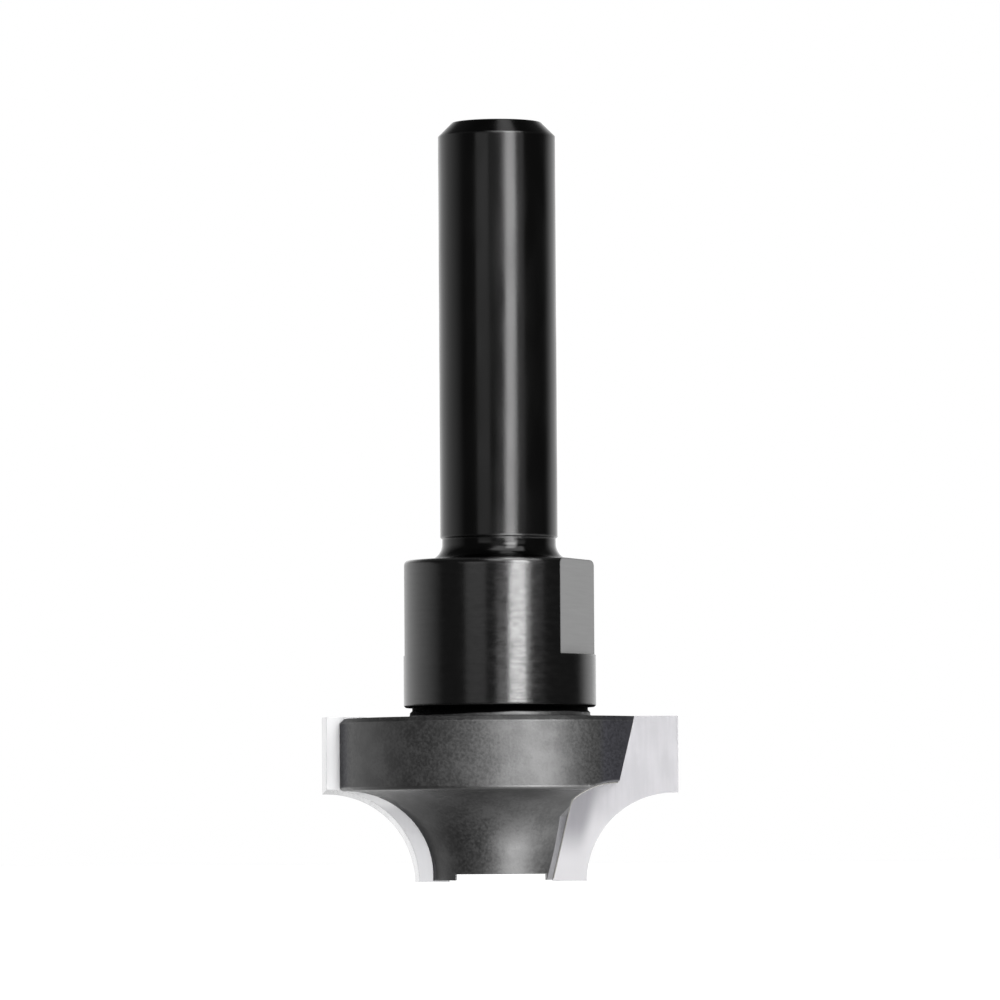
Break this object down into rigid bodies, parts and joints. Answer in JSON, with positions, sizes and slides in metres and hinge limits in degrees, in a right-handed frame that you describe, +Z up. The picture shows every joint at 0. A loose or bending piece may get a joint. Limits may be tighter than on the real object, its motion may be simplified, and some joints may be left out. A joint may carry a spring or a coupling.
{
  "type": "router bit",
  "caption": "Rounding-over router bit: a carbide-tipped cutter head with a coved profile, screwed onto a straight arbor with a collar and spanner flats.",
  "frame": {"origin": "on the axis of the shank, level with the lower ends of the two tips, which the bit stands on", "axes": "+Z up the axis towards the end of the shank, X along the line through the two tips, and the rake face of the right tip looks towards -Y"},
  "size_m": [0.0384, 0.035, 0.0822],
  "materials": {
    "black_oxide_steel": "turned and ground steel, black oxide, oiled gloss",
    "blasted_steel": "bead-blasted steel, dull grey",
    "ground_carbide": "finely ground tungsten carbide"
  },
  "bodies": {
    "root": {"arbor": "black_oxide_steel", "cutter_body": "blasted_steel", "carbide_tip_right": "ground_carbide", "carbide_tip_left": "ground_carbide"}
  },
  "joints": []
}
